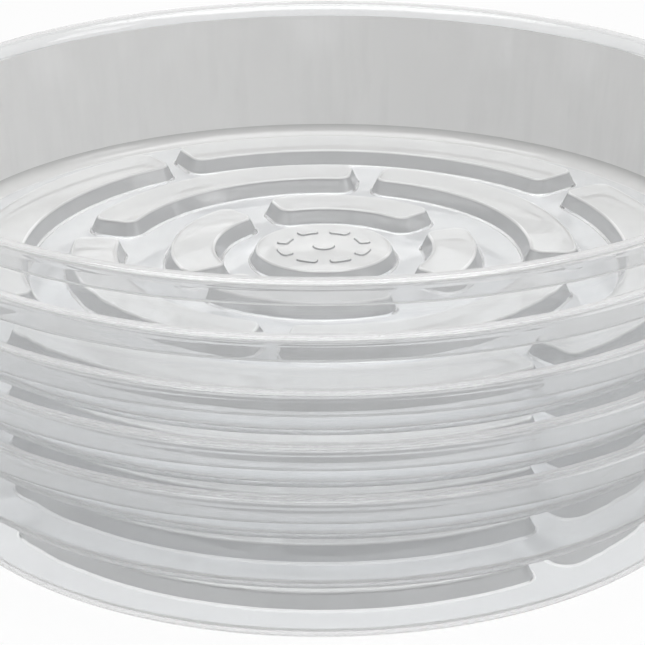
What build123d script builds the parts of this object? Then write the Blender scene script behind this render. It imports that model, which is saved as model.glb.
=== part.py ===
"""A nested stack of clear plastic plant saucers.

Each saucer is one formed sheet: a flat floor, three rings of raised arc ribs
round a raised centre boss, a leaning wall and a turned-down lip. The ribs and
the boss are hollow beneath. A saucer drops into the one below until their
walls wedge, so the walls' lean and the sheet's thickness set the stack's pitch.
Lengths are in millimetres, angles in degrees counted from +X towards +Y, and
the stack stands on z = 0 with its axis on Z.
"""
from build123d import *
import math
import os

# The stack
saucer_count = 5
nest_gap = 0.3

# The sheet and the wall
sheet = 1.2
saucer_height = 44.4
wall_lean = 6.14
base_corner_radius = 5.2

# The lip
lip_width = 5.3
lip_drop = 6.0
lip_bend_radius = 3.0
lip_edge_radius = 2.4

# The floor, from the centre outwards
boss_diameter = 38.6
boss_channel = 7.5
inner_rib_width = 12.2
inner_channel = 11.2
middle_rib_width = 12.8
outer_channel = 9.9
outer_rib_width = 15.0
wall_channel = 9.0

# The ribs' section and the rounding of their ends
rib_height = 4.6
rib_draft = 25.5
rib_corner_radius = 3.4
rib_edge_radius = 0.8

# Widest rounding of a band's corner, as a share of the band's width
widest_corner_share = 0.45
# Widest rounding of a rib's top edge, as a share of the rib's corner radius and of its height
widest_edge_share = 0.4
# Widest rounding of the lip's bend, as a share of the one that would leave its top no flat
widest_bend_share = 0.95

# A ring of short raised bars on the boss
mark_height = 0.6
mark_radius = 12.0
mark_band = 3.2
mark_count = 8
mark_degrees = 27.0
mark_hub_radius = 3.0
mark_corner_radius = 1.0

# Where each rib starts and ends round its ring
inner_rib_spans = [(-36.0, 20.0), (43.0, 112.4), (131.5, 208.8), (222.0, 296.0)]
middle_rib_spans = [(-5.4, 74.2), (82.6, 160.8), (173.4, 254.0), (262.0, 339.0)]
outer_rib_spans = [(-51.5, 32.0), (39.8, 117.5), (123.8, 203.5), (215.5, 302.0)]

# Tools that cut run this far past the face they leave by
overrun = 1.0

# Worked out from the sizes above
rib_top = sheet + rib_height
draft_slope = math.tan(math.radians(rib_draft))
rib_foot_run = rib_height * draft_slope
sheet_across_draft = sheet / math.cos(math.radians(rib_draft))
sheet_across_wall = sheet / math.cos(math.radians(wall_lean))
edge_rounding = min(rib_edge_radius, rib_corner_radius * widest_edge_share, rib_height * widest_edge_share)
bend_tangent = math.tan(math.radians((90 - wall_lean) / 2))
flatless_bend = (lip_width + sheet_across_wall - lip_edge_radius) / bend_tangent - sheet
lip_bend = min(lip_bend_radius, flatless_bend * widest_bend_share)


def stacked_rings():
    """Inner and outer radius of each ring's flat top, from the boss outwards."""
    rings = []
    foot = boss_diameter / 2 + rib_foot_run
    widths = [inner_rib_width, middle_rib_width, outer_rib_width]
    channels = [boss_channel, inner_channel, outer_channel]
    for channel, width in zip(channels, widths):
        inner = foot + channel + rib_foot_run
        rings.append((inner, inner + width))
        foot = inner + width + rib_foot_run
    return rings


ring_radii = stacked_rings()
floor_radius = ring_radii[-1][1] + rib_foot_run + wall_channel
base_radius = floor_radius + base_corner_radius
wall_top_radius = base_radius + saucer_height * math.tan(math.radians(wall_lean))
rim_radius = wall_top_radius + lip_width

# A nested saucer stops at whichever touches first: walls, rib sides or lips
wall_pitch = (sheet + nest_gap) / math.sin(math.radians(wall_lean))
rib_pitch = (sheet + nest_gap) / math.sin(math.radians(rib_draft))
lip_pitch = lip_drop + nest_gap
nest_pitch = max(wall_pitch, rib_pitch, lip_pitch)


def outer_wall_radius(level):
    """Radius of the wall's outer face at a height."""
    return base_radius + level * math.tan(math.radians(wall_lean))


def inner_wall_radius(level):
    """Radius of the wall's inner face at a height."""
    return outer_wall_radius(level) - sheet_across_wall


def shell():
    """Floor, wall and lip: one section of even thickness turned about Z."""
    under = FilletPolyline(
        (0, 0),
        (base_radius, 0),
        (outer_wall_radius(saucer_height - sheet), saucer_height - sheet),
        (rim_radius - sheet, saucer_height - sheet),
        (rim_radius - sheet, saucer_height - lip_drop),
        radius=[base_corner_radius, lip_bend, lip_edge_radius - sheet],
    )
    over = FilletPolyline(
        (0, sheet),
        (inner_wall_radius(sheet), sheet),
        (inner_wall_radius(saucer_height), saucer_height),
        (rim_radius, saucer_height),
        (rim_radius, saucer_height - lip_drop),
        radius=[base_corner_radius - sheet, lip_bend + sheet, lip_edge_radius],
    )
    axis_edge = Line((0, 0), (0, sheet))
    lip_edge = Line((rim_radius - sheet, saucer_height - lip_drop), (rim_radius, saucer_height - lip_drop))
    section = make_face([*under.edges(), *over.edges(), axis_edge.edge(), lip_edge.edge()])
    upright = Plane.XZ * section
    return revolve(upright, Axis.Z)


def polar(radius, degrees):
    """Point on a circle about the axis."""
    return (radius * math.cos(math.radians(degrees)), radius * math.sin(math.radians(degrees)))


def arc_outline(inner, outer, span, corner, grow=0.0):
    """Face of an arc band with radial ends and rounded corners, grown outwards by a distance."""
    start, end = span
    near = inner - grow
    far = outer + grow
    near_turn = math.degrees(math.asin(grow / near))
    far_turn = math.degrees(math.asin(grow / far))
    middle = (start + end) / 2
    corners = [
        polar(near, start - near_turn),
        polar(far, start - far_turn),
        polar(far, end + far_turn),
        polar(near, end + near_turn),
    ]
    edges = [
        Line(corners[0], corners[1]),
        ThreePointArc(corners[1], polar(far, middle), corners[2]),
        Line(corners[2], corners[3]),
        ThreePointArc(corners[3], polar(near, middle), corners[0]),
    ]
    band = make_face([edge.edge() for edge in edges])
    rounding = min(corner + grow, (far - near) * widest_corner_share)
    return fillet(band.vertices(), rounding)


def drafted_rib(ring, span, bottom, top, inset):
    """Rib-shaped solid whose sides lean at the draft, set in from the rib's own sides."""
    inner, outer = ring
    low = arc_outline(inner, outer, span, rib_corner_radius, (rib_top - bottom) * draft_slope - inset)
    high = arc_outline(inner, outer, span, rib_corner_radius, (rib_top - top) * draft_slope - inset)
    return loft([Pos(0, 0, bottom) * low.face(), Pos(0, 0, top) * high.face()], ruled=True)


def drafted_boss(bottom, top, inset):
    """Round boss solid with the ribs' draft, its top one mark lower than the ribs' tops."""
    boss_top = rib_top - mark_height
    low_radius = boss_diameter / 2 + (boss_top - bottom) * draft_slope - inset
    high_radius = boss_diameter / 2 + (boss_top - top) * draft_slope - inset
    cone = Cone(low_radius, high_radius, top - bottom, align=(Align.CENTER, Align.CENTER, Align.MIN))
    return Pos(0, 0, bottom) * cone


def eased(solid):
    """The solid with the edges of its flat top rounded."""
    top_face = solid.faces().sort_by(Axis.Z)[-1]
    return fillet(top_face.edges(), edge_rounding)


def boss_mark():
    """Raised bars in a ring round a raised hub, level with the ribs' tops."""
    base = rib_top - mark_height - sheet / 2
    band = (mark_radius - mark_band / 2, mark_radius + mark_band / 2)
    bars = []
    for index in range(mark_count):
        middle = 360 / mark_count * (index + 1 / 2)
        span = (middle - mark_degrees / 2, middle + mark_degrees / 2)
        outline = arc_outline(band[0], band[1], span, mark_corner_radius)
        bars.append(Pos(0, 0, base) * extrude(outline, rib_top - base))
    hub = Cylinder(mark_hub_radius, rib_top - base, align=(Align.CENTER, Align.CENTER, Align.MIN))
    bars.append(Pos(0, 0, base) * hub)
    return bars


def saucer():
    """One saucer, standing on z = 0."""
    raised = [eased(drafted_boss(sheet / 2, rib_top - mark_height, 0))]
    hollows = [drafted_boss(-overrun, rib_height - mark_height, sheet_across_draft)]
    for ring, spans in zip(ring_radii, [inner_rib_spans, middle_rib_spans, outer_rib_spans]):
        for span in spans:
            raised.append(eased(drafted_rib(ring, span, sheet / 2, rib_top, 0)))
            hollows.append(drafted_rib(ring, span, -overrun, rib_height, sheet_across_draft))
    body = shell() + raised
    body = body - hollows
    body = body + boss_mark()
    return body.solid()


def main():
    """Write each saucer of the stack to its own file, lowest first."""
    os.makedirs("parts", exist_ok=True)
    one = saucer()
    for index in range(saucer_count):
        placed = Pos(0, 0, index * nest_pitch) * one
        name = f"saucer_{index + 1}"
        placed.label = name
        export_step(placed, f"parts/{name}.step")
    print("rim diameter", round(2 * rim_radius, 2), "base diameter", round(2 * base_radius, 2))
    print("nest pitch", round(nest_pitch, 3), "stack height", round(saucer_height + (saucer_count - 1) * nest_pitch, 2))
    print("rings", [(round(inner, 2), round(outer, 2)) for inner, outer in ring_radii])


main()
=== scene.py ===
"""Looks of a nested stack of clear plastic plant saucers.

Every saucer is one closed sheet. Its floor carries three rings of raised arc ribs round a raised boss, and
a leaning wall rises from the floor to a lip that turns outwards and down. Lengths are in metres and angles
in degrees, counted from +X towards +Y. The stack stands on z = 0 with its axis on Z.
"""

import logging
import math
from dataclasses import dataclass, field
from enum import Enum

import bpy
import numpy as np
from mathutils import Matrix, Vector
from mathutils.geometry import tessellate_polygon

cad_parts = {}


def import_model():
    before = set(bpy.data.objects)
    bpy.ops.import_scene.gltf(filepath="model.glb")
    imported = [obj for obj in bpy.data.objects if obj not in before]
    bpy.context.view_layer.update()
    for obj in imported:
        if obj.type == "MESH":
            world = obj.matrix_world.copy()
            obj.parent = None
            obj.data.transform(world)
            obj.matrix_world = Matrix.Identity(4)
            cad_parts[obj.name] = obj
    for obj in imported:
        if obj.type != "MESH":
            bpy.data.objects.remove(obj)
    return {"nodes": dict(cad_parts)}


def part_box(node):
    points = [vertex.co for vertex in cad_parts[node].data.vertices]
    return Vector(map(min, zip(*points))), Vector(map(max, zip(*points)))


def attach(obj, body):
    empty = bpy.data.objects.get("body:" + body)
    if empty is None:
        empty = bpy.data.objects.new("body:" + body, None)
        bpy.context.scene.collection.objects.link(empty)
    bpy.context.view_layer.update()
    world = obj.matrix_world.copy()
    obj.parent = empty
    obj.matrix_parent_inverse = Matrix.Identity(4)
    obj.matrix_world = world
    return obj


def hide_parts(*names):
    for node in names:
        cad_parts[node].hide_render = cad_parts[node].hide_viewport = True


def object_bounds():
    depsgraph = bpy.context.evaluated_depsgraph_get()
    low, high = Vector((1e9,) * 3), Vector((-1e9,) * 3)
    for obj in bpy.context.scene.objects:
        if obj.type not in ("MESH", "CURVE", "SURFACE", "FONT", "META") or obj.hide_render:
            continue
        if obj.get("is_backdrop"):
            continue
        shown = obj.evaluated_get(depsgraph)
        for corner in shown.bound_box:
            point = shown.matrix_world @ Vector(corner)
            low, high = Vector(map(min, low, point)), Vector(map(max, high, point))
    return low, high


log = logging.getLogger("saucer_stack")

Tree = bpy.types.NodeTree
Node = bpy.types.Node
Socket = bpy.types.NodeSocket
Feed = Socket | float | tuple[float, ...]

MM = 0.001
WELD_STEP = 1e-8


class Zone(Enum):
    """Parts of a saucer's sheet with a finish of their own, by their place among the mesh's materials."""

    FLOOR = 0
    # Sides of ribs, boss and bars; their darker finish is painted shade.
    RIB_SIDE = 1
    RIB_TOP = 2
    UNDERSIDE = 3
    WALL_INSIDE = 4
    WALL_OUTSIDE = 5
    LIP = 6
    LIP_UNDERSIDE = 7
    # Rounded top edges of ribs, boss and bars; their light finish is a painted highlight.
    RIB_EDGE = 8
    # Rounded feet of ribs and boss; their light finish is a painted highlight.
    RIB_FOOT = 9
    # Rounded foot of the wall inside; its darker finish is painted shade.
    WALL_FOOT = 10
    BASE_CORNER = 11


@dataclass
class Patch:
    """Part of a surface, with faces that count its own points."""

    points: np.ndarray
    normals: np.ndarray
    faces: np.ndarray
    zones: np.ndarray

    def facing_out(self) -> "Patch":
        """Turns every face whose corners run against the normals.

        The face's own normal is the cross product of its two diagonals, or of two sides on a triangle.
        Where it points against the first corner's given normal, the order of the corners is reversed.

        Returns:
            The same patch with its faces turned.
        """
        corners = self.points[self.faces]
        last = corners.shape[1] - 1
        across = np.cross(corners[:, 2] - corners[:, 0], corners[:, last] - corners[:, 1])
        if last == 2:
            across = np.cross(corners[:, 1] - corners[:, 0], corners[:, 2] - corners[:, 0])
        given = self.normals[self.faces].sum(axis=1)
        against = np.einsum("ij,ij->i", across, given) < 0
        self.faces = np.where(against[:, None], self.faces[:, ::-1], self.faces)
        return self


@dataclass
class Path:
    """A flat path: its points and its left-hand normals, one row for each point."""

    points: np.ndarray
    normals: np.ndarray


def rounded_path(corners: list[tuple[float, float]], radii: list[float], steps: int) -> Path:
    """Rounds every inner corner of a polyline with an arc.

    The arc touches both legs, at radius x tan(half the turn) from the corner. Its centre lies one radius to
    the side that the path turns to. Its points are the centre plus the radius swept evenly from one leg's
    normal to the next leg's, and each point's normal is the first leg's left-hand normal turned by the same
    angle.

    Args:
        corners: The polyline's corners, its two ends among them.
        radii: One radius for each inner corner.
        steps: Number of spans that each arc is cut into.

    Returns:
        The path from the first end, through the arcs, to the last end.
    """
    places = np.array(corners)
    radius = np.array(radii)
    legs = np.diff(places, axis=0)
    along = legs / np.linalg.norm(legs, axis=1, keepdims=True)
    left = np.stack([-along[:, 1], along[:, 0]], axis=1)
    before, after = along[:-1], along[1:]
    turn = np.arctan2(before[:, 0] * after[:, 1] - before[:, 1] * after[:, 0], (before * after).sum(axis=1))
    touch = places[1:-1] - before * (radius * np.abs(np.tan(turn / 2)))[:, None]
    side = np.sign(turn)[:, None] * left[:-1]
    centre = touch + radius[:, None] * side
    angle = turn[:, None] * np.linspace(0.0, 1.0, steps + 1)
    cos, sin = np.cos(angle)[..., None], np.sin(angle)[..., None]
    quarter = np.stack([-side[:, 1], side[:, 0]], axis=1)
    arc = centre[:, None] - radius[:, None, None] * (side[:, None] * cos + quarter[:, None] * sin)
    crossways = np.stack([-left[:-1, 1], left[:-1, 0]], axis=1)
    arc_normals = left[:-1, None] * cos + crossways[:, None] * sin
    points = np.concatenate([places[:1], arc.reshape(-1, 2), places[-1:]])
    normals = np.concatenate([left[:1], arc_normals.reshape(-1, 2), left[-1:]])
    return Path(points, normals)


def circle(radius: float, count: int) -> Path:
    """A circle about the axis, counted anticlockwise: radius x (cos a, sin a), with (cos a, sin a) as normal.

    Args:
        radius: The circle's radius.
        count: Number of points.

    Returns:
        The closed path, without its first point repeated.
    """
    angle = np.linspace(0.0, 2 * math.pi, count, endpoint=False)
    outward = np.stack([np.cos(angle), np.sin(angle)], axis=1)
    return Path(radius * outward, outward)


def arc_band(
    inner: float, outer: float, span: tuple[float, float], corner: float, arc_count: int, turn_count: int
) -> Path:
    """Outline of an arc band with radial ends and rounded corners, counted anticlockwise.

    Each long side is its radius x (cos a, sin a). A rounded corner's centre lies one corner radius inside
    the side and one inside the radial end, so it stands asin(corner / its own distance from the axis) in
    from the end, and its points are the centre plus the corner radius x (cos b, sin b), where b runs from
    the end's normal to the side's. The outer half and the inner half have as many points, so each point has
    a partner straight across the band.

    Args:
        inner: Radius of the band's inner side.
        outer: Radius of its outer side.
        span: Where the band starts and ends, in degrees.
        corner: Radius of its corners.
        arc_count: Points along each long side, between the corners.
        turn_count: Points round each corner.

    Returns:
        The closed outline with its outward normals.
    """
    start, end = np.radians(span)
    outer_centre = outer - corner
    inner_centre = inner + corner
    outer_turn = math.asin(corner / outer_centre)
    inner_turn = math.asin(corner / inner_centre)
    right = math.pi / 2

    def turned(distance: float, bearing: float, first: float, last: float) -> tuple[np.ndarray, np.ndarray]:
        """One rounded corner.

        Args:
            distance: How far the corner's centre is from the axis.
            bearing: The centre's angle.
            first: Angle of the first normal.
            last: Angle of the last normal.

        Returns:
            Its points and their normals.
        """
        way = np.linspace(first, last, turn_count)
        normal = np.stack([np.cos(way), np.sin(way)], axis=1)
        return distance * np.array([math.cos(bearing), math.sin(bearing)]) + corner * normal, normal

    def side(radius: float, first: float, last: float, sign: float) -> tuple[np.ndarray, np.ndarray]:
        """One long side, without its two ends.

        Args:
            radius: The side's radius.
            first: Angle of the end it starts from.
            last: Angle of the end it runs to.
            sign: 1 where the side looks away from the axis and -1 where it looks to it.

        Returns:
            Its points and their normals.
        """
        way = np.linspace(first, last, arc_count + 2)[1:-1]
        outward = np.stack([np.cos(way), np.sin(way)], axis=1)
        return radius * outward, sign * outward

    runs = [
        turned(outer_centre, start + outer_turn, start - right, start + outer_turn),
        side(outer, start + outer_turn, end - outer_turn, 1.0),
        turned(outer_centre, end - outer_turn, end - outer_turn, end + right),
        turned(inner_centre, end - inner_turn, end + right, end - inner_turn + 2 * right),
        side(inner, end - inner_turn, start + inner_turn, -1.0),
        turned(inner_centre, start + inner_turn, start + inner_turn + 2 * right, start + 3 * right),
    ]
    return Path(np.concatenate([run[0] for run in runs]), np.concatenate([run[1] for run in runs]))


def carried(outline: Path, section: Path, zones: np.ndarray) -> Patch:
    """A section carried round a closed outline.

    The section's first number is a distance outwards from the outline, and its second a height, so a point
    is the outline's point plus that distance x the outline's normal, at that height. Its normal is the
    outline's normal x the section normal's first number, plus the upward direction x its second.

    Args:
        outline: The closed path seen from above.
        section: The path of distances and heights.
        zones: The zone's value for each span of the section.

    Returns:
        A grid of quads, one row of points for each point of the section.
    """
    rows, count = len(section.points), len(outline.points)
    flat = outline.points[None] + section.points[:, None, :1] * outline.normals[None]
    height = np.broadcast_to(section.points[:, None, 1:], (rows, count, 1))
    lean = section.normals[:, None, :1] * outline.normals[None]
    up = np.broadcast_to(section.normals[:, None, 1:], (rows, count, 1))
    points = np.concatenate([flat, height], axis=2).reshape(-1, 3)
    normals = np.concatenate([lean, up], axis=2).reshape(-1, 3)
    row, column = np.meshgrid(np.arange(rows - 1), np.arange(count), indexing="ij")
    corner = row * count + column
    beside = row * count + (column + 1) % count
    faces = np.stack([corner, beside, beside + count, corner + count], axis=2)
    return Patch(points, normals, faces.reshape(-1, 4), np.repeat(zones, count))


def level_points(loop: np.ndarray, height: float, up: float) -> tuple[np.ndarray, np.ndarray]:
    """Flat points lifted to a height, with straight up (1) or straight down (-1) as their normal."""
    points = np.column_stack([loop, np.full(len(loop), height)])
    return points, np.tile([0.0, 0.0, up], (len(loop), 1))


def band_top(loop: np.ndarray, height: float, up: float, zone: Zone) -> Patch:
    """Level face of an arc band: each point of the outline is joined to its partner across the band.

    Args:
        loop: The outline's points, the outer half before the inner half.
        height: The face's height.
        up: 1 for a face that looks up and -1 for one that looks down.
        zone: The finish's zone.

    Returns:
        A row of quads along the band.
    """
    points, normals = level_points(loop, height, up)
    step = np.arange(len(loop) // 2 - 1)
    across = len(loop) - 1 - step
    faces = np.stack([step, step + 1, across - 1, across], axis=1)
    return Patch(points, normals, faces, np.full(len(faces), zone.value))


def disc(loop: np.ndarray, height: float, up: float, zone: Zone) -> Patch:
    """Level disc: triangles from the loop's centre to each span of the loop.

    Args:
        loop: Points of a closed loop round the axis.
        height: The disc's height.
        up: 1 for a face that looks up and -1 for one that looks down.
        zone: The finish's zone.

    Returns:
        The fan of triangles.
    """
    points, normals = level_points(np.vstack([loop, loop.mean(axis=0)]), height, up)
    step = np.arange(len(loop))
    faces = np.stack([step, (step + 1) % len(loop), np.full(len(loop), len(loop))], axis=1)
    return Patch(points, normals, faces, np.full(len(faces), zone.value))


def pierced(outer: np.ndarray, holes: list[np.ndarray], height: float, up: float, zone: Zone) -> Patch:
    """Level face inside one loop and outside others, cut into triangles between the loops' own points.

    Args:
        outer: The loop round the face.
        holes: The loops left open.
        height: The face's height.
        up: 1 for a face that looks up and -1 for one that looks down.
        zone: The finish's zone.

    Returns:
        The triangles, which meet the loops point for point.
    """
    loops = [outer, *holes]
    points, normals = level_points(np.concatenate(loops), height, up)
    lifted = [[Vector((x / MM, y / MM, 0.0)) for x, y in loop] for loop in loops]
    faces = np.array(tessellate_polygon(lifted))
    return Patch(points, normals, faces, np.full(len(faces), zone.value))


@dataclass
class Skin:
    """A closed surface gathered from patches that meet point for point."""

    patches: list[Patch] = field(default_factory=list)

    def add(self, patch: Patch) -> None:
        """Keeps a patch, with its faces turned outwards."""
        self.patches.append(patch.facing_out())

    def mesh(self, name: str, lift: float) -> bpy.types.Mesh:
        """Welds the patches into one mesh.

        Points that fall in the same cell of a very fine grid become one point, and their normals are
        averaged.

        Args:
            name: The mesh's name.
            lift: Height added to every point.

        Returns:
            The mesh, with a normal of its own at every point.
        """
        points = np.concatenate([patch.points for patch in self.patches])
        normals = np.concatenate([patch.normals for patch in self.patches])
        cells = np.round(points / WELD_STEP).astype(np.int64)
        _, first, place = np.unique(cells, axis=0, return_index=True, return_inverse=True)
        place = place.reshape(-1)
        welded = points[first] + np.array([0.0, 0.0, lift])
        summed = np.zeros_like(welded)
        np.add.at(summed, place, normals)
        summed /= np.linalg.norm(summed, axis=1, keepdims=True)
        offsets = np.cumsum([0] + [len(patch.points) for patch in self.patches])
        faces: list[list[int]] = []
        for patch, offset in zip(self.patches, offsets):
            faces += place[patch.faces + offset].tolist()
        zones = np.concatenate([patch.zones for patch in self.patches]).astype(np.int32)
        mesh = bpy.data.meshes.new(name)
        mesh.from_pydata(welded.tolist(), [], faces, shade_flat=False)
        mesh.polygons.foreach_set("material_index", zones)
        mesh.normals_split_custom_set_from_vertices(summed.tolist())
        mesh.validate()
        return mesh


def add_node(tree: Tree, kind: str, feeds: dict[int | str, Feed], **settings: object) -> Node:
    """Adds a node, settles its settings and feeds its inputs.

    Args:
        tree: The node tree.
        kind: The node's type.
        feeds: For each input, by name or place, a socket to read or a plain value.
        settings: The node's own properties.

    Returns:
        The node.
    """
    node = tree.nodes.new(kind)
    for name, setting in settings.items():
        setattr(node, name, setting)
    for place, feed in feeds.items():
        if isinstance(feed, Socket):
            tree.links.new(feed, node.inputs[place])
        else:
            node.inputs[place].default_value = feed
    return node


def calculated(tree: Tree, operation: str, *operands: Feed) -> Socket:
    """The output of a new Math node.

    Args:
        tree: The node tree.
        operation: What the node works out.
        operands: What it is fed, in order.

    Returns:
        The output.
    """
    return add_node(tree, "ShaderNodeMath", dict(enumerate(operands)), operation=operation).outputs[0]


def between(tree: Tree, value: Feed, low: Feed, high: Feed) -> Socket:
    """A number that runs from low, where the value is 0, to high, where it is 1.

    Args:
        tree: The node tree.
        value: The value, from 0 to 1.
        low: The number at 0.
        high: The number at 1.

    Returns:
        The output.
    """
    feeds = {"Value": value, "To Min": low, "To Max": high}
    return add_node(tree, "ShaderNodeMapRange", feeds).outputs["Result"]


def mixed(tree: Tree, share: Feed, first: Node, second: Node) -> Node:
    """Mixes two shaders.

    Args:
        tree: The node tree.
        share: The second shader's share.
        first: The first shader's node.
        second: The second shader's node.

    Returns:
        The mixing node.
    """
    return add_node(tree, "ShaderNodeMixShader", {"Fac": share, 1: first.outputs[0], 2: second.outputs[0]})


@dataclass
class Effects:
    """Shader node groups that several finishes share.

    Attributes:
        line_squeeze: What heights are multiplied by where the draw lines are looked up.
        line_scale: Scale of the draw lines' noise.
        line_detail: Detail of the draw lines' noise.
        wave_scale: Scale of the slow waves' noise.
        wave_detail: Detail of the slow waves' noise.
        streak_squeeze: What heights are multiplied by where the streaks are looked up.
        streak_scale: Scale of the streaks' noise.
        streak_detail: Detail of the streaks' noise.
        noise_range: The lowest and highest values that noise usually has.
    """

    line_squeeze: float = 0.06
    line_scale: float = 95.0
    line_detail: float = 2.0
    wave_scale: float = 38.0
    wave_detail: float = 1.0
    streak_squeeze: float = 0.12
    streak_scale: float = 60.0
    streak_detail: float = 4.0
    noise_range: tuple[float, float] = (0.3, 0.7)

    def __post_init__(self) -> None:
        """Builds each group once."""
        self.ripple = self.make_ripple()
        self.streaks = self.make_streaks()

    @staticmethod
    def group(name: str, inputs: list[str], output: str) -> tuple[Tree, Node, Node]:
        """Starts a node group whose inputs and output are plain numbers.

        Args:
            name: The group's name.
            inputs: The inputs' names.
            output: The output's name.

        Returns:
            The group, the node that gives its inputs and the node that takes its output.
        """
        tree = bpy.data.node_groups.new(name, "ShaderNodeTree")
        for socket in inputs:
            tree.interface.new_socket(socket, in_out="INPUT", socket_type="NodeSocketFloat")
        tree.interface.new_socket(output, in_out="OUTPUT", socket_type="NodeSocketFloat")
        return tree, tree.nodes.new("NodeGroupInput"), tree.nodes.new("NodeGroupOutput")

    @staticmethod
    def noise(tree: Tree, squeeze: float, scale: float, detail: float) -> Socket:
        """Noise on the piece's own coordinates, with their height squeezed.

        Args:
            tree: The node tree.
            squeeze: What the height is multiplied by.
            scale: The noise's scale.
            detail: The noise's detail.

        Returns:
            The noise's value.
        """
        place = tree.nodes.new("ShaderNodeTexCoord").outputs["Object"]
        squeezed = add_node(tree, "ShaderNodeMapping", {"Vector": place, "Scale": (1.0, 1.0, squeeze)})
        feeds = {"Vector": squeezed.outputs["Vector"], "Scale": scale, "Detail": detail}
        return add_node(tree, "ShaderNodeTexNoise", feeds).outputs["Fac"]

    def make_ripple(self) -> Tree:
        """Relief of a drawn sheet, as a height.

        Long vertical draw lines come from noise on coordinates whose height is squeezed to almost nothing.
        Slow waves come from larger noise on the plain coordinates. The height is one plus the other, each
        times its own input.

        Returns:
            The group, with inputs Lines and Waves and output Height.
        """
        tree, given, result = self.group("drawn_sheet_ripple", ["Lines", "Waves"], "Height")
        lines = self.noise(tree, self.line_squeeze, self.line_scale, self.line_detail)
        waves = self.noise(tree, 1.0, self.wave_scale, self.wave_detail)
        lines_height = calculated(tree, "MULTIPLY", lines, given.outputs["Lines"])
        height = calculated(tree, "MULTIPLY_ADD", waves, given.outputs["Waves"], lines_height)
        tree.links.new(height, result.inputs["Height"])
        return tree

    def make_streaks(self) -> Tree:
        """Upright streaks of a drawn sheet, as a value about 1 that other values are multiplied by.

        Noise on coordinates whose height is squeezed is stretched from its usual range over the range from
        1 - Amount to 1 + Amount.

        Returns:
            The group, with input Amount and output Factor.
        """
        tree, given, result = self.group("drawn_sheet_streaks", ["Amount"], "Factor")
        amount = given.outputs["Amount"]
        feeds = {
            "Value": self.noise(tree, self.streak_squeeze, self.streak_scale, self.streak_detail),
            "From Min": self.noise_range[0],
            "From Max": self.noise_range[1],
            "To Min": calculated(tree, "SUBTRACT", 1.0, amount),
            "To Max": calculated(tree, "ADD", 1.0, amount),
        }
        spread = add_node(tree, "ShaderNodeMapRange", feeds)
        tree.links.new(spread.outputs["Result"], result.inputs["Factor"])
        return tree


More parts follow.
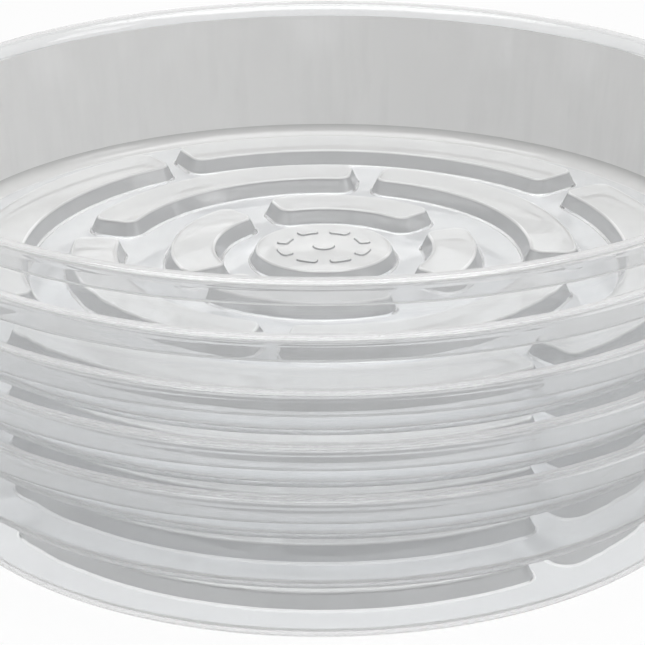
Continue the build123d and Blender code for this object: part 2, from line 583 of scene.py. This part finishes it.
@dataclass(frozen=True)
class PlasticFinish:
    """Clear, colourless formed sheet that refracts, with a pale haze on its faces.

    Attributes:
        name: The material's name.
        haze_and_painted_light_colour: Colour of the haze, and on some zones painted shade and highlight.
        haze: Share of what lies behind that one face hides, seen square on.
        edge_haze: The same, seen along the face.
        clear_colour: What the clear share lets through.
        behind_share: How much of the haze shows where the face is seen from inside the sheet.
        shade: Share of a lamp's light that one face keeps back.
        haze_roughness: Roughness of the haze's gloss.
        clear_roughness: Roughness of the clear share.
        lines: Height of the draw lines, in metres.
        waves: Height of the slow waves, in metres.
        streaks: How much the haze varies from one draw line to the next.
        ior: The plastic's index of refraction.
        grazing_power: How late the haze grows on the way from square sight to grazing sight.
    """

    name: str
    haze_and_painted_light_colour: tuple[float, float, float]
    haze: float
    edge_haze: float
    clear_colour: tuple[float, float, float] = (0.955, 0.96, 0.965)
    behind_share: float = 0.15
    shade: float = 0.03
    haze_roughness: float = 0.12
    clear_roughness: float = 0.02
    lines: float = 0.0
    waves: float = 0.0
    streaks: float = 0.05
    ior: float = 1.45
    grazing_power: float = 2.5

    def bump(self, tree: Tree, effects: Effects) -> Socket:
        """The surface's normal with the sheet's relief on it.

        Args:
            tree: The material's nodes.
            effects: The shared node groups.

        Returns:
            The normal.
        """
        ripple = add_node(tree, "ShaderNodeGroup", {}, node_tree=effects.ripple)
        ripple.inputs["Lines"].default_value = self.lines
        ripple.inputs["Waves"].default_value = self.waves
        feeds = {"Distance": 1.0, "Height": ripple.outputs["Height"]}
        return add_node(tree, "ShaderNodeBump", feeds).outputs["Normal"]

    def haze_share(self, tree: Tree, effects: Effects, normal: Socket) -> Socket:
        """The haze's share of the surface.

        It runs from haze to edge_haze with Facing to the grazing power, times the streaks, times
        behind_share where the face is seen from inside the sheet.

        Args:
            tree: The material's nodes.
            effects: The shared node groups.
            normal: The surface's normal.

        Returns:
            The share, from 0 to 1.
        """
        facing = add_node(tree, "ShaderNodeLayerWeight", {"Normal": normal}).outputs["Facing"]
        grazing = calculated(tree, "POWER", facing, self.grazing_power)
        share = between(tree, grazing, self.haze, self.edge_haze)
        streaks = add_node(tree, "ShaderNodeGroup", {}, node_tree=effects.streaks)
        streaks.inputs["Amount"].default_value = self.streaks
        streaked = calculated(tree, "MULTIPLY", share, streaks.outputs["Factor"])
        behind = tree.nodes.new("ShaderNodeNewGeometry").outputs["Backfacing"]
        kept = between(tree, behind, 1.0, self.behind_share)
        sided = add_node(tree, "ShaderNodeMath", {0: streaked, 1: kept}, operation="MULTIPLY", use_clamp=True)
        return sided.outputs[0]

    def material(self, effects: Effects) -> bpy.types.Material:
        """Builds the material.

        A hazy body is mixed over clear plastic by a share that grows towards grazing sight, varies along
        the draw lines, and is small where the face is seen from inside the sheet. To a lamp's own rays the
        sheet is almost fully clear, so lower saucers stay lit.

        Args:
            effects: The shared node groups.

        Returns:
            The material.
        """
        material = bpy.data.materials.new(self.name)
        material.use_nodes = True
        tree = material.node_tree
        tree.nodes.clear()
        normal = self.bump(tree, effects)
        # The haze colour is painted shade on rib sides and wall foot, and a painted highlight on rib edges
        # and feet.
        hazy_feeds = {
            "Base Color": (*self.haze_and_painted_light_colour, 1.0),
            "Roughness": self.haze_roughness,
            "IOR": self.ior,
            "Normal": normal,
        }
        body = add_node(tree, "ShaderNodeBsdfPrincipled", hazy_feeds)
        clear_feeds = {
            "Base Color": (*self.clear_colour, 1.0),
            "Roughness": self.clear_roughness,
            "IOR": self.ior,
            "Transmission Weight": 1.0,
            "Normal": normal,
        }
        clear = add_node(tree, "ShaderNodeBsdfPrincipled", clear_feeds)
        hazed = mixed(tree, self.haze_share(tree, effects, normal), clear, body)
        left = 1.0 - self.shade
        lamp_clear = add_node(tree, "ShaderNodeBsdfTransparent", {"Color": (left, left, left, 1.0)})
        rays = tree.nodes.new("ShaderNodeLightPath")
        seen = mixed(tree, rays.outputs["Is Shadow Ray"], hazed, lamp_clear)
        add_node(tree, "ShaderNodeOutputMaterial", {"Surface": seen.outputs[0]})
        return material


FINISHES: dict[Zone, PlasticFinish] = {
    Zone.FLOOR: PlasticFinish(
        "clear_floor", haze_and_painted_light_colour=(0.64, 0.65, 0.66), haze=0.45, edge_haze=0.65, waves=0.0002
    ),
    # Rib sides: the dark haze colour is painted shade, not the plastic's own tone.
    Zone.RIB_SIDE: PlasticFinish(
        "clear_rib_side_painted_shade", haze_and_painted_light_colour=(0.42, 0.425, 0.43), haze=0.80, edge_haze=0.88, waves=0.0001
    ),
    Zone.RIB_TOP: PlasticFinish(
        "clear_rib_top", haze_and_painted_light_colour=(0.61, 0.61, 0.605), haze=0.60, edge_haze=0.75, waves=0.0001
    ),
    # Rib edges: the light haze colour is a painted highlight line.
    Zone.RIB_EDGE: PlasticFinish("clear_rib_edge_painted_highlight", haze_and_painted_light_colour=(0.80, 0.80, 0.80), haze=0.60, edge_haze=0.70),
    # Rib feet: the light haze colour is a painted highlight line.
    Zone.RIB_FOOT: PlasticFinish(
        "clear_rib_foot_painted_highlight", haze_and_painted_light_colour=(0.80, 0.80, 0.80), haze=0.25, edge_haze=0.50, waves=0.0004
    ),
    Zone.UNDERSIDE: PlasticFinish(
        "clear_underside", haze_and_painted_light_colour=(0.70, 0.71, 0.72), haze=0.03, edge_haze=0.15, waves=0.0001
    ),
    Zone.WALL_INSIDE: PlasticFinish(
        "clear_wall_inside",
        haze_and_painted_light_colour=(0.78, 0.78, 0.775),
        haze=0.97,
        edge_haze=1.00,
        behind_share=0.05,
        lines=0.0001,
        waves=0.0001,
        streaks=0.12,
    ),
    # Wall foot: the darker haze colour is painted shade in the crease.
    Zone.WALL_FOOT: PlasticFinish(
        "clear_wall_foot_painted_shade", haze_and_painted_light_colour=(0.54, 0.54, 0.535), haze=0.90, edge_haze=0.93, behind_share=0.05
    ),
    Zone.WALL_OUTSIDE: PlasticFinish(
        "clear_wall_outside", haze_and_painted_light_colour=(0.62, 0.63, 0.64), haze=0.02, edge_haze=0.30
    ),
    Zone.BASE_CORNER: PlasticFinish(
        "clear_base_corner", haze_and_painted_light_colour=(0.60, 0.60, 0.595), haze=0.15, edge_haze=0.90, behind_share=0.05
    ),
    Zone.LIP: PlasticFinish(
        "clear_lip",
        haze_and_painted_light_colour=(0.64, 0.64, 0.635),
        haze=0.25,
        edge_haze=0.85,
        clear_colour=(0.91, 0.915, 0.92),
        behind_share=0.05,
    ),
    Zone.LIP_UNDERSIDE: PlasticFinish(
        "clear_lip_underside",
        haze_and_painted_light_colour=(0.66, 0.66, 0.66),
        haze=0.03,
        edge_haze=0.20,
        clear_colour=(0.93, 0.935, 0.94),
    ),
}


@dataclass
class Saucer:
    """One saucer of the stack, from the sizes of its sheet. All lengths are in metres.

    Attributes:
        name: The node and body that the saucer stands for.
        rim_radius: Outer radius of the lip.
        height: Height from the underside to the lip's top.
        lift: Height of the underside above the ground.
        land: Level strip between a rounding and the next face.
        rib_spans: Where each ring's ribs start and end in degrees, the innermost ring first.
        arc_steps: Spans of each rounding.
        side_degrees: Spacing of points along a rib.
        turn_count: Points round each corner of a rib.
    """

    name: str
    rim_radius: float
    height: float
    lift: float

    sheet: float = 1.2 * MM
    wall_lean: float = 6.14
    base_corner_radius: float = 5.2 * MM

    lip_width: float = 5.3 * MM
    lip_drop: float = 6.0 * MM
    lip_bend_radius: float = 3.0 * MM
    lip_edge_radius: float = 2.4 * MM
    lip_end_radius: float = 0.5 * MM

    boss_radius: float = 19.3 * MM
    rib_widths: tuple[float, ...] = (12.2 * MM, 12.8 * MM, 15.0 * MM)
    channels: tuple[float, ...] = (7.5 * MM, 11.2 * MM, 9.9 * MM)
    rib_height: float = 4.6 * MM
    rib_draft: float = 25.5
    rib_corner_radius: float = 3.4 * MM
    rib_edge_radius: float = 0.8 * MM
    rib_foot_radius: float = 0.9 * MM
    hollow_edge_radius: float = 0.3 * MM
    hollow_foot_radius: float = 0.6 * MM
    land: float = 0.1 * MM

    mark_height: float = 0.6 * MM
    mark_radius: float = 12.0 * MM
    mark_band: float = 3.2 * MM
    mark_count: int = 8
    mark_degrees: float = 27.0
    mark_hub_radius: float = 3.0 * MM
    mark_corner_radius: float = 1.0 * MM
    mark_edge_radius: float = 0.2 * MM
    mark_foot_run: float = 0.15 * MM

    rib_spans: tuple[tuple[tuple[float, float], ...], ...] = (
        ((-36.0, 20.0), (43.0, 112.4), (131.5, 208.8), (222.0, 296.0)),
        ((-5.4, 74.2), (82.6, 160.8), (173.4, 254.0), (262.0, 339.0)),
        ((-51.5, 32.0), (39.8, 117.5), (123.8, 203.5), (215.5, 302.0)),
    )

    round_count: int = 432
    boss_count: int = 96
    arc_steps: int = 6
    side_degrees: float = 2.5
    turn_count: int = 8
    mark_arc_count: int = 8
    mark_turn_count: int = 5

    def draft_slope(self) -> float:
        """How far a rib's side runs outwards for each metre down: the tangent of the draft."""
        return math.tan(math.radians(self.rib_draft))

    def rib_top(self) -> float:
        """Height of the ribs' flat tops above the underside."""
        return self.sheet + self.rib_height

    def rings(self) -> list[tuple[float, float]]:
        """Each ring's flat top, with channels, feet and tops added up from the boss outwards.

        Returns:
            The inner and outer radius of each ring, the innermost first.
        """
        run = self.rib_height * self.draft_slope()
        rings = []
        foot = self.boss_radius + run
        for channel, width in zip(self.channels, self.rib_widths):
            inner = foot + channel + run
            rings.append((inner, inner + width))
            foot = inner + width + run
        return rings

    def wall_section(self) -> tuple[Path, np.ndarray]:
        """Section of wall and lip, from the floor up the inside, over the lip and back down the outside.

        The outer face starts at the base's radius and leans out by tan(lean) for each metre up. The inner
        face lies one sheet inside it, measured across the sheet. The lip's faces are level or upright, one
        sheet apart.

        Returns:
            The rounded path of radius and height, and the zone of each of its spans.
        """
        slope = math.tan(math.radians(self.wall_lean))
        wall_top = self.rim_radius - self.lip_width
        base = wall_top - self.height * slope
        across = self.sheet / math.cos(math.radians(self.wall_lean))
        floor_edge = base - self.base_corner_radius
        skirt = self.rim_radius - self.sheet
        under_lip = self.height - self.sheet
        lip_end = self.height - self.lip_drop
        corners = [
            (floor_edge, self.sheet),
            (base + self.sheet * slope - across, self.sheet),
            (wall_top - across, self.height),
            (self.rim_radius, self.height),
            (self.rim_radius, lip_end),
            (skirt, lip_end),
            (skirt, under_lip),
            (base + under_lip * slope, under_lip),
            (base, 0.0),
            (floor_edge, 0.0),
        ]
        radii = [
            self.base_corner_radius - self.sheet,
            self.lip_bend_radius + self.sheet,
            self.lip_edge_radius,
            self.lip_end_radius,
            self.lip_end_radius,
            self.lip_edge_radius - self.sheet,
            self.lip_bend_radius,
            self.base_corner_radius,
        ]
        path = rounded_path(corners, radii, self.arc_steps)
        legs = [
            Zone.FLOOR,
            Zone.WALL_INSIDE,
            Zone.LIP,
            Zone.LIP,
            Zone.LIP,
            Zone.LIP_UNDERSIDE,
            Zone.LIP_UNDERSIDE,
            Zone.WALL_OUTSIDE,
            Zone.UNDERSIDE,
        ]
        arcs = [
            # The wall's foot gets painted shade.
            Zone.WALL_FOOT,
            Zone.LIP,
            Zone.LIP,
            Zone.LIP,
            Zone.LIP_UNDERSIDE,
            Zone.LIP_UNDERSIDE,
            Zone.LIP_UNDERSIDE,
            Zone.BASE_CORNER,
        ]
        return path, self.span_zones(legs, arcs)

    def span_zones(self, legs: list[Zone], arcs: list[Zone]) -> np.ndarray:
        """Zone of each span of a rounded path.

        Args:
            legs: The zones of its straight legs.
            arcs: The zones of the arcs between them.

        Returns:
            One value for each span, every arc's repeated for all its steps.
        """
        zones = [legs[0].value]
        for arc, leg in zip(arcs, legs[1:]):
            zones += [arc.value] * self.arc_steps + [leg.value]
        return np.array(zones)

    def raised_section(self, top: float, foot: float, run: float, edge: float, round_foot: float) -> Path:
        """Section of a raised face, from its level top down its side to the level round it.

        Args:
            top: Height of the top.
            foot: Height of the level round it.
            run: How far the side runs outwards on its way down.
            edge: Radius of the top's edge.
            round_foot: Radius at the foot.

        Returns:
            The rounded path of distance outwards from the top's outline and height.
        """
        turn = math.atan2(top - foot, run)
        reach = math.tan(turn / 2)
        first = -edge * reach - self.land
        last = run + round_foot * reach + self.land
        corners = [(first, top), (0.0, top), (run, foot), (last, foot)]
        return rounded_path(corners, [edge, round_foot], self.arc_steps)

    def hollow_section(self, drop: float) -> Path:
        """Section of the hollow beneath a rib, from the underside up its side to its level top.

        The hollow's side lies one sheet inside the rib's own, measured across the sheet.

        Args:
            drop: How much lower than a rib's the top is.

        Returns:
            The rounded path of distance outwards from the rib's top outline and height.
        """
        slope = self.draft_slope()
        across = self.sheet / math.cos(math.radians(self.rib_draft))
        top = self.rib_height - drop
        upper = self.sheet * slope - across
        lower = (self.rib_top() - drop) * slope - across
        reach = math.tan(math.radians(90 - self.rib_draft) / 2)
        corners = [
            (lower + self.hollow_foot_radius * reach + self.land, 0.0),
            (lower, 0.0),
            (upper, top),
            (upper - self.hollow_edge_radius * reach - self.land, top),
        ]
        return rounded_path(corners, [self.hollow_foot_radius, self.hollow_edge_radius], self.arc_steps)

    def rib_outlines(self) -> list[Path]:
        """The outline of every rib's flat top, with a point about every side_degrees along it.

        Returns:
            The outlines, ring by ring from the innermost.
        """
        outlines = []
        for ring, spans in zip(self.rings(), self.rib_spans):
            for span in spans:
                arc_count = int((span[1] - span[0]) / self.side_degrees)
                outlines.append(arc_band(*ring, span, self.rib_corner_radius, arc_count, self.turn_count))
        return outlines

    def mark_outlines(self) -> list[Path]:
        """The outline of every raised bar of the boss's ring, evenly spaced.

        Returns:
            The outlines, anticlockwise.
        """
        inner = self.mark_radius - self.mark_band / 2
        outer = self.mark_radius + self.mark_band / 2
        corner = self.mark_corner_radius
        step = 360 / self.mark_count
        outlines = []
        for index in range(self.mark_count):
            middle = step * (index + 1 / 2)
            span = (middle - self.mark_degrees / 2, middle + self.mark_degrees / 2)
            outlines.append(arc_band(inner, outer, span, corner, self.mark_arc_count, self.mark_turn_count))
        return outlines

    def side_zones(self) -> np.ndarray:
        """Zones of a raised section: level top, top edge, leaning side, foot, and the level round it."""
        # The top edge and foot get a painted highlight, and the leaning side painted shade.
        return self.span_zones([Zone.RIB_TOP, Zone.RIB_SIDE, Zone.FLOOR], [Zone.RIB_EDGE, Zone.RIB_FOOT])

    @staticmethod
    def under_zones(section: Path) -> np.ndarray:
        """The underside's zone for every span of a hollow's section."""
        return np.full(len(section.points) - 1, Zone.UNDERSIDE.value)

    def build_boss(self, skin: Skin) -> tuple[np.ndarray, np.ndarray]:
        """Adds the boss with its ring of bars and its hub.

        Args:
            skin: The saucer's surface.

        Returns:
            The loops that the boss leaves open in the floor's upper and under face.
        """
        boss_top = self.rib_top() - self.mark_height
        run = (boss_top - self.sheet) * self.draft_slope()
        outline = circle(self.boss_radius, self.boss_count)
        section = self.raised_section(boss_top, self.sheet, run, self.rib_edge_radius, self.rib_foot_radius)
        side = carried(outline, section, self.side_zones())
        skin.add(side)
        loop_length = self.boss_count
        edge = self.mark_edge_radius
        mark_section = self.raised_section(self.rib_top(), boss_top, self.mark_foot_run, edge, edge)
        # The bars' top edges get a painted highlight, and their sides and feet painted shade.
        mark_legs = [Zone.RIB_TOP, Zone.RIB_SIDE, Zone.RIB_TOP]
        mark_zones = self.span_zones(mark_legs, [Zone.RIB_EDGE, Zone.RIB_SIDE])
        holes = []
        for mark in self.mark_outlines():
            bar = carried(mark, mark_section, mark_zones)
            skin.add(bar)
            skin.add(band_top(bar.points[: len(mark.points), :2], self.rib_top(), 1.0, Zone.RIB_TOP))
            holes.append(bar.points[-len(mark.points) :, :2])
        hub_outline = circle(self.mark_hub_radius, self.boss_count // 2)
        hub = carried(hub_outline, mark_section, mark_zones)
        skin.add(hub)
        skin.add(disc(hub.points[: len(hub_outline.points), :2], self.rib_top(), 1.0, Zone.RIB_TOP))
        holes.append(hub.points[-len(hub_outline.points) :, :2])
        skin.add(pierced(side.points[:loop_length, :2], holes, boss_top, 1.0, Zone.RIB_TOP))

        hollow_section = self.hollow_section(self.mark_height)
        hollow = carried(outline, hollow_section, self.under_zones(hollow_section))
        skin.add(hollow)
        skin.add(disc(hollow.points[-loop_length:, :2], boss_top - self.sheet, -1.0, Zone.UNDERSIDE))
        return side.points[-loop_length:, :2], hollow.points[:loop_length, :2]

    def build_ribs(self, skin: Skin) -> tuple[list[np.ndarray], list[np.ndarray]]:
        """Adds every rib, with its hollow beneath.

        Args:
            skin: The saucer's surface.

        Returns:
            The loops that the ribs leave open in the floor's upper faces and in its under faces.
        """
        section = self.raised_section(
            self.rib_top(),
            self.sheet,
            self.rib_height * self.draft_slope(),
            self.rib_edge_radius,
            self.rib_foot_radius,
        )
        hollow_section = self.hollow_section(0.0)
        upper_holes, under_holes = [], []
        for outline in self.rib_outlines():
            count = len(outline.points)
            rib = carried(outline, section, self.side_zones())
            hollow = carried(outline, hollow_section, self.under_zones(hollow_section))
            skin.add(rib)
            skin.add(hollow)
            skin.add(band_top(rib.points[:count, :2], self.rib_top(), 1.0, Zone.RIB_TOP))
            skin.add(band_top(hollow.points[-count:, :2], self.rib_height, -1.0, Zone.UNDERSIDE))
            upper_holes.append(rib.points[-count:, :2])
            under_holes.append(hollow.points[:count, :2])
        return upper_holes, under_holes

    def build_skin(self) -> Skin:
        """Gathers wall, boss, ribs and the floor's two faces.

        Returns:
            The saucer's whole closed surface, standing on z = 0.
        """
        skin = Skin()
        section, zones = self.wall_section()
        outline = circle(1.0, self.round_count)
        centred = Path(np.zeros_like(outline.points), outline.normals)
        wall = carried(centred, section, zones)
        skin.add(wall)
        boss_upper, boss_under = self.build_boss(skin)
        upper_holes, under_holes = self.build_ribs(skin)
        upper_edge = wall.points[: self.round_count, :2]
        under_edge = wall.points[-self.round_count :, :2]
        skin.add(pierced(upper_edge, [boss_upper, *upper_holes], self.sheet, 1.0, Zone.FLOOR))
        skin.add(pierced(under_edge, [boss_under, *under_holes], 0.0, -1.0, Zone.UNDERSIDE))
        return skin

    def place(self, skin: Skin, materials: dict[Zone, bpy.types.Material]) -> bpy.types.Object:
        """Puts the saucer in the scene, on its body and in its node's stead.

        Args:
            skin: A saucer's closed surface, standing on z = 0.
            materials: The material of each zone.

        Returns:
            The saucer's object.
        """
        mesh = skin.mesh(f"{self.name}_sheet", self.lift)
        for zone in Zone:
            mesh.materials.append(materials[zone])
        piece = bpy.data.objects.new(f"{self.name}_sheet", mesh)
        bpy.context.scene.collection.objects.link(piece)
        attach(piece, self.name)
        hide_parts(self.name)
        log.info("%s: %d faces", piece.name, len(mesh.polygons))
        return piece


@dataclass
class Stack:
    """The nested saucers, lowest first, at the places that the frame gives."""

    names: list[str]

    def build(self) -> None:
        """Builds one saucer's surface and places it once for each node."""
        effects = Effects()
        materials = {zone: finish.material(effects) for zone, finish in FINISHES.items()}
        skin = None
        for name in self.names:
            low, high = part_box(name)
            saucer = Saucer(name, (high.x - low.x) / 2, high.z - low.z, low.z)
            skin = skin or saucer.build_skin()
            saucer.place(skin, materials)


@dataclass(frozen=True)
class Lamp:
    """A square soft box that points at the stack.

    Attributes:
        name: The lamp's name.
        place: Its centre.
        size: Length of its side.
        power: Its power in watts.
    """

    name: str
    place: tuple[float, float, float]
    size: float
    power: float

    def build(self, target: Vector) -> None:
        """Adds the lamp, turned to the target.

        Args:
            target: What the lamp points at.
        """
        data = bpy.data.lights.new(self.name, "AREA")
        data.shape = "SQUARE"
        data.size = self.size
        data.energy = self.power
        lamp = bpy.data.objects.new(self.name, data)
        bpy.context.scene.collection.objects.link(lamp)
        lamp.location = self.place
        lamp.rotation_euler = (target - Vector(self.place)).to_track_quat("-Z", "Y").to_euler()


@dataclass
class Studio:
    """Pale floor, white surroundings, soft boxes and the camera. Angles are in degrees."""

    floor_reach: float = 6.0
    floor_gap: float = 0.3 * MM
    floor_colour: float = 0.75
    floor_white_share: float = 0.88
    world_light: float = 0.5
    scattered_from: float = 0.5

    lens: float = 129.84
    sensor: float = 36.0
    photo_side: float = 645.0
    axis_column: float = 324.1
    back: float = 0.62174
    above_ribs: float = 0.23322
    pitch: float = 22.478
    roll: float = -0.275
    clip_start: float = 0.01
    clip_end: float = 50.0

    see_through_bounces: int = 64
    refracted_bounces: int = 24
    mirrored_bounces: int = 6

    lamps: tuple[Lamp, ...] = (
        Lamp("overhead_box", (0.0, 0.0, 1.25), 1.1, 16.0),
        Lamp("left_box", (-1.2, -0.3, 0.8), 0.6, 0.4),
        Lamp("right_box", (1.2, -0.3, 0.9), 0.6, 2.6),
    )

    def build_floor(self) -> None:
        """A flat square just below the stack, white to sight and pale grey to light."""
        reach = self.floor_reach
        height = -self.floor_gap
        sides = [(-reach, -reach), (reach, -reach), (reach, reach), (-reach, reach)]
        mesh = bpy.data.meshes.new("studio_floor")
        mesh.from_pydata([(x, y, height) for x, y in sides], [], [(0, 1, 2, 3)])
        mesh.materials.append(self.floor_material())
        floor = bpy.data.objects.new("studio_floor", mesh)
        bpy.context.scene.collection.objects.link(floor)
        floor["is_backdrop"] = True

    def floor_material(self) -> bpy.types.Material:
        """Matt pale paint, mixed with plain white wherever a ray sees the floor unscattered.

        Returns:
            The material.
        """
        material = bpy.data.materials.new("studio_floor")
        material.use_nodes = True
        tree = material.node_tree
        tree.nodes.clear()
        paint = add_node(tree, "ShaderNodeBsdfDiffuse", {"Color": (*[self.floor_colour] * 3, 1.0)})
        white = add_node(tree, "ShaderNodeEmission", {})
        share = calculated(tree, "MULTIPLY", self.seen_rays(tree), self.floor_white_share)
        mix = mixed(tree, share, paint, white)
        add_node(tree, "ShaderNodeOutputMaterial", {"Surface": mix.outputs[0]})
        return material

    def seen_rays(self, tree: Tree) -> Socket:
        """1 for camera, glossy and transmission rays that no matt face has scattered, and 0 for all others.

        It is the largest of three Light Path answers, times 1 where diffuse bounces are below scattered_from.

        Args:
            tree: The node tree.

        Returns:
            The answer.
        """
        rays = tree.nodes.new("ShaderNodeLightPath").outputs
        direct = calculated(tree, "MAXIMUM", rays["Is Camera Ray"], rays["Is Glossy Ray"])
        seen = calculated(tree, "MAXIMUM", direct, rays["Is Transmission Ray"])
        unscattered = calculated(tree, "LESS_THAN", rays["Diffuse Depth"], self.scattered_from)
        return calculated(tree, "MULTIPLY", seen, unscattered)

    def build_world(self) -> None:
        """White to sight, and a dim even light on everything else."""
        world = bpy.data.worlds.new("studio")
        bpy.context.scene.world = world
        world.use_nodes = True
        tree = world.node_tree
        tree.nodes.clear()
        strength = between(tree, self.seen_rays(tree), self.world_light, 1.0)
        background = add_node(tree, "ShaderNodeBackground", {"Strength": strength})
        add_node(tree, "ShaderNodeOutputWorld", {"Surface": background.outputs[0]})

    def build_camera(self, rib_level: float) -> None:
        """Puts the camera where the photograph was taken from.

        It stands in front of the axis and above the top saucer's rib tops, tilts down by the pitch, and is
        then turned by the roll about its own line of sight. The shift moves the line of sight to its column
        of the photograph.

        Args:
            rib_level: Height of the top saucer's rib tops.
        """
        data = bpy.data.cameras.new("camera")
        data.lens = self.lens
        data.sensor_width = self.sensor
        data.clip_start = self.clip_start
        data.clip_end = self.clip_end
        data.shift_x = (self.photo_side / 2 - self.axis_column) / self.photo_side
        camera = bpy.data.objects.new("camera", data)
        bpy.context.scene.collection.objects.link(camera)
        tilt = Matrix.Rotation(math.radians(90 - self.pitch), 4, "X")
        turn = Matrix.Rotation(math.radians(self.roll), 4, "Z")
        place = Matrix.Translation((0.0, -self.back, rib_level + self.above_ribs))
        camera.matrix_world = place @ tilt @ turn
        bpy.context.scene.camera = camera

    def build(self, target: Vector, rib_level: float) -> None:
        """Builds floor, surroundings, lamps and camera.

        Args:
            target: What the lamps point at.
            rib_level: Height of the top saucer's rib tops.
        """
        scene = bpy.context.scene
        scene.view_settings.view_transform = "Standard"
        scene.cycles.transparent_max_bounces = self.see_through_bounces
        scene.cycles.max_bounces = self.refracted_bounces
        scene.cycles.transmission_bounces = self.refracted_bounces
        scene.cycles.glossy_bounces = self.mirrored_bounces
        self.build_floor()
        self.build_world()
        for lamp in self.lamps:
            lamp.build(target)
        self.build_camera(rib_level)


def main() -> None:
    """Loads the frame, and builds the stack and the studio."""
    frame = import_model()
    cad_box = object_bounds()
    names = sorted(frame["nodes"])
    Stack(names).build()
    top_low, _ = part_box(names[-1])
    rib_level = top_low.z + Saucer.sheet + Saucer.rib_height
    Studio().build((cad_box[0] + cad_box[1]) / 2, rib_level)
    log.info("sizes written")


if __name__ == "__main__":
    logging.basicConfig(level=logging.INFO)
    main()
